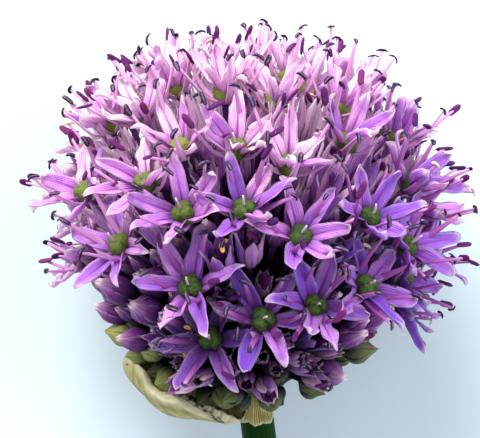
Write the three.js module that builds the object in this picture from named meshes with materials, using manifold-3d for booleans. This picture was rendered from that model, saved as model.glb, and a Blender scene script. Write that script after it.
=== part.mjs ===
// Allium flower head, cut with a length of its scape and laid down on a surface.
//
// Millimetres, +Z up. The scape runs along +Y, its cut end at -Y, and rises towards the head,
// because the head is wider than the scape and rests on the florets of its underside.
// The umbel is made of small cymes: pedicels that share a foot on the receptacle. Each cyme is
// one solid, and so are the scape with its receptacle and each valve of the papery spathe.

import * as THREE from 'three';
import { mergeVertices } from 'three/addons/utils/BufferGeometryUtils.js';
import Module from 'manifold-3d';

const wasm = await Module();
wasm.setup();

// ---- Driving dimensions (mm, degrees) ----

const SCAPE_RISE = 20.5;          // slope of the scape above the surface
const HEAD_HEIGHT = 23.5;         // centre of the head above the surface
const RECEPTACLE_DROP = 11;       // receptacle below the head's centre, along the scape
const FACING_DROP = 11;           // flowers face away from this point below the head's centre
const HEAD_TURN = -7;             // the listed flowers turned about the upright
const RECEPTACLE_RADIUS = 4.6;
const SCAPE_RADIUS = 2.6;
const NECK = 4.9;                 // the scape widens into the receptacle this far below it
const CYME_COUNT = 54;            // feet spread over the receptacle
const CYME_LIMIT = 128;           // lowest foot, degrees from the tip of the scape
const FOOT_GAP = 0.8;             // middle of a foot clear of the receptacle
const PEDICEL_RADIUS = 0.45;
const PEDICEL_SIDES = 3;
const KNOB_RADIUS = 0.5;          // where the pedicels of a cyme meet

const LATTICE_COUNT = 100;        // places for florets over the bloom
const FLORET_LIMIT = 86;          // open florets end here, degrees from the middle of the bloom
const FLORET_ROOM = 0.27;         // free place to a listed floret, in radii of the head
const BUD_ROOM = 0.36;            // free place to a listed bud
const REACH_TOP = 31;             // head's centre to an ovary, on the crown
const REACH_LOW = 20;             // the same at the edge of the open florets
const REACH_TOP_ANGLE = 45;       // full reach down to this angle from the axis
const REACH_LOW_ANGLE = 105;      // least reach of an open floret from here on
const REACH_STEP = 0.6;           // neighbouring florets stand up to two such steps out or in
const ROLL_STEP = 37;             // from one floret's roll to the next
const OVARY_RADIUS = 1.7;
const OVARY_SHOULDER = 1.1;       // radius of the ovary half way up
const TEPAL_COUNT = 6;
const TEPAL_LENGTH = 8.4;
const TEPAL_FOOT = 0.7;           // base of a tepal below the ovary's centre
const TEPAL_INSET = 0.6;          // base of a tepal from the floret's axis
const NOTCH_RADIUS = 2;           // where two neighbouring tepals part
const TEPAL_BASE = 0.4;           // thickness below the base of the tepals
const TEPAL_SPACE = 0.12;         // free space kept round a tepal
const OPENINGS = [70, 64, 58, 52, 46];      // tepal to floret axis, widest first
const OPENING_STEP = 6;
const YOUNG_OPENING = 46;                   // widest at the crown
const OLD_OPENING = 70;                     // widest at the edge of the bloom
const YOUNG_ANGLE = 20;
const OLD_ANGLE = 75;
const LENGTHS = [1, 0.8, 0.6, 0.45, 0.3];   // of a whole tepal, longest first

const BUD_COUNT = 52;
const BUD_START = 86;             // buds begin here, degrees from the middle of the bloom
const BUD_END = 150;
const BUD_REACH_START = 20.5;
const BUD_REACH_END = 16.5;
const BUD_RADIUS = 1.9;
const BUD_LENGTH = 6.6;
const SMALLEST_BUD = 0.6;         // size of the last, green buds against the purple ones
const INNER_COUNT = 112;          // places for young buds between the florets
const INNER_LIMIT = 80;
const INNER_DROPS = [2.5, 4, 5.5, 7, 8.5, 10];   // below the florets; the first with room counts
const INNER_OLD_DROP = 3;         // so much deeper at the edge of the bloom
const INNER_SIZE = 0.8;
const INNER_SPACE = 0.25;         // free space kept round a young bud

const SPREAD_ROUNDS = 40;         // florets push apart this many times
const SPREAD_STEP = 0.0016;
const SPREAD_WITHIN = 0.8;        // farther neighbours don't push, in radii of the head

const SPATHE_THICKNESS = 0.4;
const SPATHE_STEPS = 8;           // facets across and along a valve
const SCAPE_FACETS = 12;
const RECEPTACLE_RINGS = [142, 115, 90, 65, 40, 18, 0];   // degrees from its tip
const PRESS = 0.9;                // how softly the lowest florets bend where they meet the surface

// The two valves of the spathe. The outline runs from the scape outwards as [radius, height
// above the receptacle]; turn and half width are in degrees about the scape, from its upper
// side to the right, at the scape and at the free end. Lobe is how much shorter its sides are.
const SPATHE_VALVES = {
  spathe_valve_large: {
    outline: [[3.25, -4.8], [3.3, -6.8], [4.8, -8.1], [8.7, -7.8], [13.2, -6.1], [16.9, -3.2],
      [18.8, 0.5], [18.5, 3.9]],
    turn: [-60, -62],
    halfWidth: [22, 56],
    lobe: 0.5,
  },
  spathe_valve_small: {
    outline: [[3.2, -4.6], [3.25, -6.4], [3.8, -8.2], [4.8, -9.6]],
    turn: [14, 24],
    halfWidth: [22, 30],
    lobe: 0.35,
  },
};

// Florets on the upper side, each as [side, ahead, roll]: its lean from straight up to the
// right and towards the crown, and the turn of its first tepal from the right.
const UPPER_FLORETS = [
  [1, 20, 0], [15, 14, 0], [-14, 1, 2], [7, -9, 0], [-10, -18, 5], [34, 22, 18],
  [-35, 15, 42], [-14, 20, 35], [38, 1, 42], [22, -5, 0], [12, 33, 30], [-24, 30, 15],
  [-57, 82, 0], [-37, 66, 25], [-17, 70, 10], [-4, 60, 40], [9, 55, 5], [13, 80, 30],
  [28, 46, 20], [-15, 39, 50], [-1, 37, 15], [-26, 58, 45], [50, 46, 10], [51, 18, 30],
  [27, 66, 0], [-46, 40, 20],
];

// Buds of the upper side as [side, ahead, reach].
const UPPER_BUDS = [
  [-73, 5, 20], [-70, -38, 19], [-38, -11, 21], [-50, -39, 19], [-37, 3, 20], [-25, -24, 20],
  [-6, 8, 23], [3, 12, 24], [64, -26, 21], [54, -40, 19], [27, -23, 20], [27, -42, 18],
  [-4, -8, 20], [25, 36, 26], [2, -30, 19],
];

// ---- Places on the head ----

const rad = THREE.MathUtils.degToRad;
const AXIS = new THREE.Vector3(0, Math.cos(rad(SCAPE_RISE)), Math.sin(rad(SCAPE_RISE)));
const HEAD_CENTRE = new THREE.Vector3(0, 0, HEAD_HEIGHT);
const RECEPTACLE = HEAD_CENTRE.clone().addScaledVector(AXIS, -RECEPTACLE_DROP);
const GOLDEN_ANGLE = Math.PI * (3 - Math.sqrt(5));
const UPRIGHT = new THREE.Vector3(0, 0, 1);

function leaning(side, ahead) {
  const direction = new THREE.Vector3(
    Math.sin(rad(side)),
    Math.sin(rad(ahead)) * Math.cos(rad(side)),
    Math.cos(rad(ahead)) * Math.cos(rad(side)));
  return direction.applyAxisAngle(UPRIGHT, rad(HEAD_TURN));
}

const BLOOM = leaning(7, 68);          // middle of the bloom, where the oldest florets are
const SIDEWAYS = leaning(90, 0);

// Places on a spiral about an axis, between two angles from it.
function spiral(index, count, fromAngle, toAngle, axis = BLOOM) {
  const top = Math.cos(rad(fromAngle));
  const bottom = Math.cos(rad(toAngle));
  const height = top + (bottom - top) * (index + 0.5) / count;
  const across = Math.sqrt(1 - height * height);
  const turn = index * GOLDEN_ANGLE;
  const place = new THREE.Vector3(across * Math.cos(turn), across * Math.sin(turn), height);
  return place.applyQuaternion(new THREE.Quaternion().setFromUnitVectors(UPRIGHT, axis));
}

function angleFromBloom(direction) {
  return THREE.MathUtils.radToDeg(direction.angleTo(BLOOM));
}

// Swings a direction towards or away from the bloom's middle until its angle lies in the range.
function keptBetween(direction, fromAngle, toAngle) {
  const angle = angleFromBloom(direction);
  const wanted = THREE.MathUtils.clamp(angle, fromAngle, toAngle);
  const outward = direction.clone().addScaledVector(BLOOM, -direction.dot(BLOOM)).normalize();
  return BLOOM.clone().multiplyScalar(Math.cos(rad(wanted)))
    .addScaledVector(outward, Math.sin(rad(wanted)));
}

// Free directions push apart from each other and from the fixed ones.
function spreadOut(fixed, free, fromAngle, toAngle) {
  let places = free;
  for (let round = 0; round < SPREAD_ROUNDS; round += 1) {
    const all = fixed.concat(places);
    places = places.map((place) => {
      const push = new THREE.Vector3();
      for (const other of all) {
        const away = place.clone().sub(other);
        const distance = away.length();
        if (distance > 0 && distance < SPREAD_WITHIN) {
          push.addScaledVector(away, 1 / distance ** 3);
        }
      }
      const moved = place.clone().addScaledVector(push, SPREAD_STEP).normalize();
      return keptBetween(moved, fromAngle, toAngle);
    });
  }
  return places;
}

function floretReach(direction) {
  const part = THREE.MathUtils.smoothstep(
    REACH_LOW_ANGLE - angleFromBloom(direction), 0, REACH_LOW_ANGLE - REACH_TOP_ANGLE);
  return REACH_LOW + (REACH_TOP - REACH_LOW) * part;
}

// From 0 at the crown to 1 at the edge of the bloom, where florets open widest.
function age(direction) {
  return THREE.MathUtils.smoothstep(angleFromBloom(direction), YOUNG_ANGLE, OLD_ANGLE);
}

function budPart(direction) {
  return THREE.MathUtils.clamp(
    (angleFromBloom(direction) - BUD_START) / (BUD_END - BUD_START), 0, 1);
}

// The florets of the upper side stay where they are listed. The others start on a spiral round
// the bloom, those too near to a listed flower are left out, and the rest spread out.
function layOutFlorets() {
  const fixed = UPPER_FLORETS.map(([side, ahead]) => leaning(side, ahead));
  const fixedBuds = UPPER_BUDS.map(([side, ahead]) => leaning(side, ahead));
  const room = (place, others) => Math.min(...others.map((other) => place.distanceTo(other)));
  const free = [];
  for (let index = 0; index < LATTICE_COUNT; index += 1) {
    const place = spiral(index, LATTICE_COUNT, 0, FLORET_LIMIT);
    if (room(place, fixed) > FLORET_ROOM && room(place, fixedBuds) > BUD_ROOM) {
      free.push(place);
    }
  }
  const placed = spreadOut(fixed.concat(fixedBuds), free, 0, FLORET_LIMIT);
  const upper = fixed.map((direction, index) => ({
    kind: 'floret',
    direction,
    reach: floretReach(direction),
    roll: UPPER_FLORETS[index][2],
  }));
  const others = placed.map((direction, index) => ({
    kind: 'floret',
    direction,
    reach: floretReach(direction) + (index * 2 % 5 - 2) * REACH_STEP,
    roll: index * ROLL_STEP % (360 / TEPAL_COUNT),
  }));
  return upper.concat(others);
}

function layOutBuds(florets) {
  const fixed = UPPER_BUDS.map(([side, ahead]) => leaning(side, ahead));
  const around = fixed.concat(florets.map(({ direction }) => direction));
  const freeCount = BUD_COUNT - fixed.length;
  const free = [];
  for (let index = 0; index < freeCount; index += 1) {
    free.push(spiral(index, freeCount, BUD_START, BUD_END));
  }
  const placed = spreadOut(around, free, BUD_START, BUD_END);
  const lower = THREE.MathUtils.lerp;
  return fixed.concat(placed).map((direction, index) => ({
    kind: 'bud',
    direction,
    reach: UPPER_BUDS[index]?.[2] ?? lower(BUD_REACH_START, BUD_REACH_END, budPart(direction)),
    size: lower(1, SMALLEST_BUD, budPart(direction)),
    roll: 0,
  }));
}

// Young buds stand between the florets, on a spiral spread out from them.
function layOutInnerPlaces(flowers) {
  const around = flowers.map(({ direction }) => direction);
  const free = [];
  for (let index = 0; index < INNER_COUNT; index += 1) {
    free.push(spiral(index, INNER_COUNT, 0, INNER_LIMIT));
  }
  return spreadOut(around, free, 0, INNER_LIMIT);
}

// ---- Solids ----

function solidOf(geometry) {
  const bare = geometry.index ? geometry.toNonIndexed() : geometry.clone();
  bare.deleteAttribute('normal');
  bare.deleteAttribute('uv');
  const merged = mergeVertices(bare, 1e-5);
  return new wasm.Manifold(new wasm.Mesh({
    numProp: 3,
    vertProperties: Float32Array.from(merged.attributes.position.array),
    triVerts: Uint32Array.from(merged.index.array),
  }));
}

function geometryOf(solid) {
  const mesh = solid.getMesh();
  const geometry = new THREE.BufferGeometry();
  geometry.setAttribute('position', new THREE.BufferAttribute(mesh.vertProperties, 3));
  geometry.setIndex(new THREE.BufferAttribute(mesh.triVerts, 1));
  return geometry;
}

// Moves every corner of a geometry with a function of its place.
function reshaped(geometry, move) {
  const corners = geometry.attributes.position;
  const corner = new THREE.Vector3();
  for (let index = 0; index < corners.count; index += 1) {
    corner.fromBufferAttribute(corners, index);
    move(corner);
    corners.setXYZ(index, corner.x, corner.y, corner.z);
  }
  return geometry;
}

// What a tepal takes up before it opens.
const CLOSED_TEPAL = { opening: 46, length: 0.25 * TEPAL_LENGTH };

// The frame of a floret or bud: Z the way it faces, X turned by its roll.
function floretFrame(member) {
  const { facing, place } = member;
  const across = SIDEWAYS.clone().addScaledVector(facing, -facing.dot(SIDEWAYS)).normalize();
  const along = new THREE.Vector3().crossVectors(facing, across);
  const frame = new THREE.Matrix4().makeBasis(across, along, facing);
  const roll = new THREE.Matrix4().makeRotationZ(rad(member.roll));
  return frame.setPosition(place).multiply(roll);
}

function rodBetween(start, end, startRadius, endRadius) {
  const length = start.distanceTo(end);
  const rod = new THREE.CylinderGeometry(endRadius, startRadius, length, PEDICEL_SIDES, 1);
  const along = end.clone().sub(start).normalize();
  rod.applyQuaternion(new THREE.Quaternion().setFromUnitVectors(new THREE.Vector3(0, 1, 0), along));
  const middle = start.clone().add(end).multiplyScalar(0.5);
  return rod.translate(middle.x, middle.y, middle.z);
}

// The small swelling where the pedicels of a cyme meet.
function knob(foot) {
  const { x, y, z } = foot.place;
  return new THREE.OctahedronGeometry(KNOB_RADIUS).translate(x, y, z);
}

function pedicel(member, spare = 0) {
  const base = member.place.clone().addScaledVector(member.facing, -OVARY_RADIUS / 2);
  return rodBetween(member.foot, base, PEDICEL_RADIUS / 2 + spare, PEDICEL_RADIUS + spare);
}

// Ovary and tepals in one: a small turned body whose rim is drawn out into six tepals. The
// body can be drawn larger by some spare room, to test what space it needs.
function perianth(member, spare = 0) {
  const notch = NOTCH_RADIUS + spare;
  const outline = [
    [0, -TEPAL_FOOT - TEPAL_BASE - spare],
    [notch, -TEPAL_FOOT],
    [OVARY_SHOULDER + spare, spare],
    [0, OVARY_RADIUS + spare],
  ];
  const points = outline.map(([radius, height]) => new THREE.Vector2(radius, height));
  const star = new THREE.LatheGeometry(points, 2 * TEPAL_COUNT);
  star.rotateX(Math.PI / 2);
  reshaped(star, (corner) => {
    const isRim = Math.abs(Math.hypot(corner.x, corner.y) - notch) < 0.01;
    const step = Math.round(Math.atan2(corner.y, corner.x) / (Math.PI / TEPAL_COUNT));
    if (isRim && step % 2 === 0) {
      const turn = step * Math.PI / TEPAL_COUNT;
      const { opening, length } = member.tepals[(step / 2 + TEPAL_COUNT) % TEPAL_COUNT];
      const across = TEPAL_INSET + (length + spare) * Math.sin(rad(opening));
      const height = (length + spare) * Math.cos(rad(opening)) - TEPAL_FOOT;
      corner.set(Math.cos(turn) * across, Math.sin(turn) * across, height);
    }
  });
  return star.applyMatrix4(floretFrame(member));
}

function bud(member, spare = 0) {
  const shell = new THREE.SphereGeometry(1, 5, 4);
  const radius = BUD_RADIUS * member.size + spare;
  shell.rotateX(Math.PI / 2);
  shell.scale(radius, radius, BUD_LENGTH / 2 * member.size + spare);
  return shell.applyMatrix4(floretFrame(member));
}

// A pedicel with its floret or bud.
function flowerSolid(member, spare = 0, pedicelSpare = 0) {
  const top = member.kind === 'floret' ? perianth(member, spare) : bud(member, pedicelSpare);
  return solidOf(pedicel(member, pedicelSpare)).add(solidOf(top));
}

// Each tepal opens as far as the flowers around it leave room.
function openTepals(member, members) {
  const near = members.filter((other) => other !== member
    && other.place.distanceTo(member.place) < 3 * TEPAL_LENGTH);
  const widest = THREE.MathUtils.lerp(YOUNG_OPENING, OLD_OPENING, age(member.direction));
  const openings = OPENINGS.filter((opening) => opening <= widest + OPENING_STEP / 2);
  const postures = LENGTHS.flatMap((part) =>
    openings.map((opening) => ({ opening, length: part * TEPAL_LENGTH })));
  for (let number = 0; number < TEPAL_COUNT; number += 1) {
    const isFree = (posture) => {
      member.tepals[number] = posture;
      const room = solidOf(perianth(member, TEPAL_SPACE));
      return near.every(({ solid }) => room.intersect(solid).isEmpty());
    };
    member.tepals[number] = postures.find(isFree) ?? CLOSED_TEPAL;
  }
  member.solid = flowerSolid(member);
}

// Where the head lies on the surface, its florets bend up and lie flat on it.
function pressedUp(corner) {
  corner.z = PRESS * Math.log1p(Math.exp(corner.z / PRESS));
}

function layOutFeet() {
  const feet = [];
  for (let index = 0; index < CYME_COUNT; index += 1) {
    const direction = spiral(index, CYME_COUNT, 0, CYME_LIMIT, AXIS);
    const place = RECEPTACLE.clone().addScaledVector(direction, RECEPTACLE_RADIUS + FOOT_GAP);
    feet.push({ direction, place, members: [] });
  }
  return feet;
}

// Gives a flower its place, and the foot nearest to it.
function settle(member, feet) {
  member.place = HEAD_CENTRE.clone().addScaledVector(member.direction, member.reach);
  member.facing = member.place.clone().sub(HEAD_CENTRE)
    .addScaledVector(AXIS, FACING_DROP)
    .normalize();
  const fromReceptacle = member.place.clone().sub(RECEPTACLE).normalize();
  const nearest = feet.reduce((best, foot) =>
    (foot.direction.dot(fromReceptacle) > best.direction.dot(fromReceptacle) ? foot : best));
  member.foot = nearest.place;
  member.tepals = new Array(TEPAL_COUNT).fill(CLOSED_TEPAL);
  member.solid = flowerSolid(member, 2 * TEPAL_SPACE);
  return nearest;
}

// Whether a bud and its pedicel are clear of the others. Pedicels of one cyme share a foot.
function hasRoom(member, members) {
  const shell = solidOf(bud(member, INNER_SPACE));
  const whole = flowerSolid(member, 0, INNER_SPACE);
  return members.every((other) =>
    (other.foot === member.foot ? shell : whole).intersect(other.solid).isEmpty());
}

function growCymes() {
  const florets = layOutFlorets();
  const members = florets.concat(layOutBuds(florets));
  const feet = layOutFeet();
  for (const member of members) {
    settle(member, feet).members.push(member);
  }
  layOutInnerPlaces(members).forEach((direction, index) => {
    for (const drop of INNER_DROPS.slice(index % 3)) {
      const reach = floretReach(direction) - drop - INNER_OLD_DROP * age(direction);
      const member = { kind: 'bud', direction, reach, size: INNER_SIZE, roll: 0 };
      const foot = settle(member, feet);
      if (hasRoom(member, members)) {
        foot.members.push(member);
        members.push(member);
        break;
      }
    }
  });
  for (const floret of florets) {
    openTepals(floret, members);
  }
  return feet.filter((foot) => foot.members.length > 0);
}

// The scape with its swollen receptacle, turned about the scape's axis.
function scape() {
  const sine = Math.sin(rad(SCAPE_RISE));
  const headToEnd = (HEAD_HEIGHT - SCAPE_RADIUS * Math.cos(rad(SCAPE_RISE))) / sine;
  const length = headToEnd - RECEPTACLE_DROP;
  const outline = [
    new THREE.Vector2(0, -length),
    new THREE.Vector2(SCAPE_RADIUS, -length),
    new THREE.Vector2(SCAPE_RADIUS, -NECK),
  ];
  for (const angle of RECEPTACLE_RINGS) {
    outline.push(new THREE.Vector2(
      RECEPTACLE_RADIUS * Math.sin(rad(angle)), RECEPTACLE_RADIUS * Math.cos(rad(angle))));
  }
  const turned = new THREE.LatheGeometry(outline, SCAPE_FACETS);
  turned.applyQuaternion(new THREE.Quaternion().setFromUnitVectors(new THREE.Vector3(0, 1, 0), AXIS));
  return turned.translate(RECEPTACLE.x, RECEPTACLE.y, RECEPTACLE.z);
}

// A valve is a thin sheet bent round the scape: its width follows the turn, its length the outline.
function spatheValve({ outline, turn, halfWidth, lobe }) {
  const curve = new THREE.CatmullRomCurve3(outline.map(([radius, height]) =>
    new THREE.Vector3(radius, height, 0)));
  const upper = new THREE.Vector3(0, -Math.sin(rad(SCAPE_RISE)), Math.cos(rad(SCAPE_RISE)));
  const sheet = new THREE.BoxGeometry(2, 1, SPATHE_THICKNESS, SPATHE_STEPS, SPATHE_STEPS, 1);
  return reshaped(sheet, (corner) => {
    const part = corner.y + 0.5;
    const reached = part * (1 - lobe * corner.x ** 2);
    const place = curve.getPoint(reached);
    const along = curve.getTangent(reached);
    const radius = place.x - along.y * corner.z;
    const height = place.y + along.x * corner.z;
    const middle = THREE.MathUtils.lerp(turn[0], turn[1], part);
    const spread = THREE.MathUtils.lerp(halfWidth[0], halfWidth[1], Math.sin(part * Math.PI / 2));
    const angle = rad(middle - corner.x * spread);
    corner.copy(RECEPTACLE).addScaledVector(AXIS, height)
      .addScaledVector(upper, radius * Math.cos(angle));
    corner.x += radius * Math.sin(angle);
  });
}

// ---- Meshes ----

const materials = {
  scape: { color: 0x4d7a35, roughness: 0.55, metalness: 0 },
  spathe: { color: 0xc9bd8d, roughness: 0.8, metalness: 0 },
  floret: { color: 0xa572cf, roughness: 0.6, metalness: 0 },
  bud: { color: 0x6f4a86, roughness: 0.6, metalness: 0 },
};

function meshOf(name, geometry, look) {
  const mesh = new THREE.Mesh(geometry, new THREE.MeshStandardMaterial(materials[look]));
  mesh.name = name;
  return mesh;
}

const flowerHead = new THREE.Group();

flowerHead.add(meshOf('scape', scape(), 'scape'));
for (const [name, shape] of Object.entries(SPATHE_VALVES)) {
  flowerHead.add(meshOf(name, spatheValve(shape), 'spathe'));
}
growCymes().forEach((foot, index) => {
  const joined = foot.members.reduce((whole, { solid }) => whole.add(solid), solidOf(knob(foot)));
  const look = foot.members.some(({ kind }) => kind === 'floret') ? 'floret' : 'bud';
  const name = `${look}_cyme_${String(index + 1).padStart(2, '0')}`;
  flowerHead.add(meshOf(name, reshaped(geometryOf(joined), pressedUp), look));
});

// The origin is the middle of the bottom of the part's box.
const box = new THREE.Box3().setFromObject(flowerHead);
const boxCentre = box.getCenter(new THREE.Vector3());
flowerHead.position.set(-boxCentre.x, -boxCentre.y, -box.min.z);

export default flowerHead;
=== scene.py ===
"""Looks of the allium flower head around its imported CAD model.

Shapes are worked out in millimetres about the head's own frame, as in the CAD source, and are
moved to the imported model's place and to metres when a mesh is made.
"""
import math

import bpy
import numpy as np
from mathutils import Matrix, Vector
from mathutils.kdtree import KDTree
from numpy.linalg import norm


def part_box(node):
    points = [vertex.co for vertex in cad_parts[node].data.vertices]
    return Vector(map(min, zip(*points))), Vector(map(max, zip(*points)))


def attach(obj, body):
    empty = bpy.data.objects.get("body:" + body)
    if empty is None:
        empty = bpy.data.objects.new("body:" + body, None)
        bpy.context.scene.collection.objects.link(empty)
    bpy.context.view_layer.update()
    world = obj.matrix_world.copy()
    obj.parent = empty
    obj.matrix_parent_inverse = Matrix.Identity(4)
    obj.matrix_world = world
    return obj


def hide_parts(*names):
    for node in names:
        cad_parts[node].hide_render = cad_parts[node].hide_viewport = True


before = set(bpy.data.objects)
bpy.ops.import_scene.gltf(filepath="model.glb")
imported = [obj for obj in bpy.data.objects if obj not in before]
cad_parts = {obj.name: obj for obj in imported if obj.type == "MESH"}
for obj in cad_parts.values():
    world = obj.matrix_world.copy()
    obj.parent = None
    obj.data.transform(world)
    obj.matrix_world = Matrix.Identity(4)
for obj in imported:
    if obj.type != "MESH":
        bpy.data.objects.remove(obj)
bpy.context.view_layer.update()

MM = 0.001

# ---- The head's layout, with the same numbers and arithmetic as the CAD source ----

SCAPE_RISE = 20.5
HEAD_HEIGHT = 23.5
RECEPTACLE_DROP = 11
FACING_DROP = 11
RECEPTACLE_RADIUS = 4.6
SCAPE_RADIUS = 2.6
CYME_COUNT = 54
CYME_LIMIT = 128
FOOT_GAP = 0.8
UNLIKE = -2  # below any likeness of two directions
FLORET_COUNT = 100
FLORET_LIMIT = 86
FLORET_ROOM = 0.27
BUD_ROOM = 0.36
REACH_TOP = 31
REACH_LOW = 20
REACH_TOP_ANGLE = 45
REACH_LOW_ANGLE = 105
REACH_STEP = 0.6
ROLL_STEP = 37
OVARY_RADIUS = 1.7
TEPAL_COUNT = 6
TEPAL_LENGTH = 8.4
BUD_COUNT = 52
BUD_START = 86
BUD_END = 150
YOUNG_ANGLE = 20
OLD_ANGLE = 75
YOUNG_SIZE = 0.8
HEAD_TURN = -7
BUD_REACH_START = 20.5
BUD_REACH_END = 16.5
BUD_RADIUS = 1.9
BUD_LENGTH = 6.6
BUD_SIDES = 5
# Small buds that the CAD source leaves out: their count, and angles from the bloom's axis.
SMALL_BANDS = [(130, 88, 150), (110, 0, 88)]
SMALL_REACH_START = 19
SMALL_REACH_END = 14.5
SMALL_DROP = 9
SMALL_SIZE = 0.62
SMALL_ROOM = 2.2
CORNER_ERROR = 0.05
SAME_PLACE = 0.1
SORT_ALONG = np.array([1, 0.37, 0.11])
SMALLEST_BUD = 0.6
SPREAD_ROUNDS = 40
SPREAD_STEP = 0.0016
SPREAD_WITHIN = 0.8
PRESS = 0.9  # how soft the surface's push on the lowest florets is
LOWEST = 1e-6  # keeps the logarithm's argument above zero
FIRST_SEED = 4100

# Flowers of the camera's side, listed one by one: degrees to the side and ahead, then a roll in degrees.
UPPER_FLORETS = [
    [1, 20, 0], [15, 14, 0], [-14, 1, 2], [7, -9, 0], [-10, -18, 5], [34, 22, 18],
    [-35, 15, 42], [-14, 20, 35], [38, 1, 42], [22, -5, 0], [12, 33, 30], [-24, 30, 15],
    [-57, 82, 0], [-37, 66, 25], [-17, 70, 10], [-4, 60, 40], [9, 55, 5], [13, 80, 30],
    [28, 46, 20], [-15, 39, 50], [-1, 37, 15], [-26, 58, 45], [50, 46, 10], [51, 18, 30],
    [27, 66, 0], [-46, 40, 20],
]
# The same for buds, with the distance from the head's centre last.
UPPER_BUDS = [
    [-73, 5, 20], [-70, -38, 19], [-38, -11, 21], [-50, -39, 19], [-37, 3, 20], [-25, -24, 20],
    [-6, 8, 23], [3, 12, 24], [64, -26, 21], [54, -40, 19], [27, -23, 20], [27, -42, 18],
    [-4, -8, 20], [25, 36, 26], [2, -30, 19],
]

rad = math.radians


def cosine(degrees):
    return math.cos(rad(degrees))


def sine(degrees):
    return math.sin(rad(degrees))


AXIS = np.array([0, cosine(SCAPE_RISE), sine(SCAPE_RISE)])
HEAD_CENTRE = np.array([0, 0, HEAD_HEIGHT])
RECEPTACLE = HEAD_CENTRE - AXIS * RECEPTACLE_DROP
GOLDEN_ANGLE = math.pi * (3 - math.sqrt(5))
HEAD_TO_END = (HEAD_HEIGHT - SCAPE_RADIUS * cosine(SCAPE_RISE)) / sine(SCAPE_RISE)

# The scape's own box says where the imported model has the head.
scape_low, scape_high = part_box("scape")
PLACE = np.array([
    (scape_low.x + scape_high.x) / 2 / MM,
    scape_low.y / MM + HEAD_TO_END * AXIS[1] + SCAPE_RADIUS * AXIS[2],
    0,
])


def unit(vector):
    return vector / norm(vector)


def lerp(start, end, part):
    return start + (end - start) * part


def smooth(value, low, high):
    part = np.clip((value - low) / (high - low), 0, 1)
    return part * part * (3 - 2 * part)


def ring_turns(columns):
    """Turns that are spread evenly round a ring."""
    return np.arange(columns) / columns * 2 * math.pi


def leaning(side, ahead):
    """The direction that leans so many degrees to the side and ahead of the upright."""
    right = sine(side)
    away = sine(ahead) * cosine(side)
    return np.array([
        right * cosine(HEAD_TURN) - away * sine(HEAD_TURN),
        right * sine(HEAD_TURN) + away * cosine(HEAD_TURN),
        cosine(ahead) * cosine(side),
    ])


BLOOM = leaning(7, 68)
VIEW_RIGHT = leaning(90, 0)


def from_upright(axis, vector):
    """The shortest turn that takes the upright to an axis, done to a vector."""
    turn = np.array([-axis[1], axis[0], 0, 1 + axis[2]])
    turn /= norm(turn)
    twice = 2 * np.cross(turn[:3], vector)
    return vector + twice * turn[3] + np.cross(turn[:3], twice)


def spiral(index, count, from_angle, to_angle, axis=BLOOM):
    top = cosine(from_angle)
    bottom = cosine(to_angle)
    height = top + (bottom - top) * (index + 0.5) / count
    across = math.sqrt(1 - height * height)
    turn = index * GOLDEN_ANGLE
    return from_upright(axis, np.array([across * math.cos(turn), across * math.sin(turn), height]))


def angle_from_axis(direction):
    return math.degrees(math.acos(max(-1, min(1, float(direction @ BLOOM)))))


def kept_between(direction, from_angle, to_angle):
    wanted = max(from_angle, min(to_angle, angle_from_axis(direction)))
    outward = unit(direction - BLOOM * (direction @ BLOOM))
    return BLOOM * cosine(wanted) + outward * sine(wanted)


def spread_out(fixed, free, from_angle, to_angle):
    places = np.array(free)
    for _ in range(SPREAD_ROUNDS):
        everything = np.concatenate([np.array(fixed), places])
        away = places[:, None] - everything[None]
        distance = norm(away, axis=2)
        near = (distance > 0) & (distance < SPREAD_WITHIN)
        weight = np.where(near, 1 / np.where(near, distance, 1) ** 3, 0)
        push = (away * weight[..., None]).sum(axis=1)
        moved = places + push * SPREAD_STEP
        places = np.array([kept_between(unit(place), from_angle, to_angle) for place in moved])
    return list(places)


def floret_reach(direction):
    part = smooth(REACH_LOW_ANGLE - angle_from_axis(direction), 0, REACH_LOW_ANGLE - REACH_TOP_ANGLE)
    return lerp(REACH_LOW, REACH_TOP, part)


def age(direction):
    """From 0 at the crown to 1 at the edge of the bloom, where florets open widest."""
    return smooth(angle_from_axis(direction), YOUNG_ANGLE, OLD_ANGLE)


def bud_part(direction):
    return max(0, min(1, (angle_from_axis(direction) - BUD_START) / (BUD_END - BUD_START)))


class Flower:
    """A floret or bud: where it sits, and its frame with Z along its pedicel."""

    def __init__(self, kind, direction, reach, roll, size=1.0):
        self.kind = kind
        self.direction = direction
        self.size = size
        self.place = HEAD_CENTRE + direction * reach
        self.facing = unit(direction * reach + AXIS * FACING_DROP)
        across = unit(VIEW_RIGHT - self.facing * (self.facing @ VIEW_RIGHT))
        along = np.cross(self.facing, across)
        self.frame = np.column_stack([
            across * cosine(roll) + along * sine(roll), along * cosine(roll) - across * sine(roll),
            self.facing])
        self.push = 0.0

    def world(self, points):
        return points @ self.frame.T + self.place + self.facing * self.push

    def placed(self, rings):
        return self.world(rings.reshape(-1, 3)).reshape(rings.shape)


fixed_florets = [leaning(side, ahead) for side, ahead, _ in UPPER_FLORETS]
fixed_buds = [leaning(side, ahead) for side, ahead, _ in UPPER_BUDS]


def lay_out_florets():
    lattice = [spiral(index, FLORET_COUNT, 0, FLORET_LIMIT) for index in range(FLORET_COUNT)]
    roomy = [place for place in lattice
             if min(norm(place - other) for other in fixed_florets) > FLORET_ROOM
             and min(norm(place - other) for other in fixed_buds) > BUD_ROOM]
    placed = spread_out(fixed_florets + fixed_buds, roomy, 0, FLORET_LIMIT)
    florets = [Flower("floret", direction, floret_reach(direction), roll)
               for direction, (_, _, roll) in zip(fixed_florets, UPPER_FLORETS)]
    for index, direction in enumerate(placed):
        reach = floret_reach(direction) + (index * 2 % 5 - 2) * REACH_STEP
        florets.append(Flower("floret", direction, reach, index * ROLL_STEP % (360 // TEPAL_COUNT)))
    return florets


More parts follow.
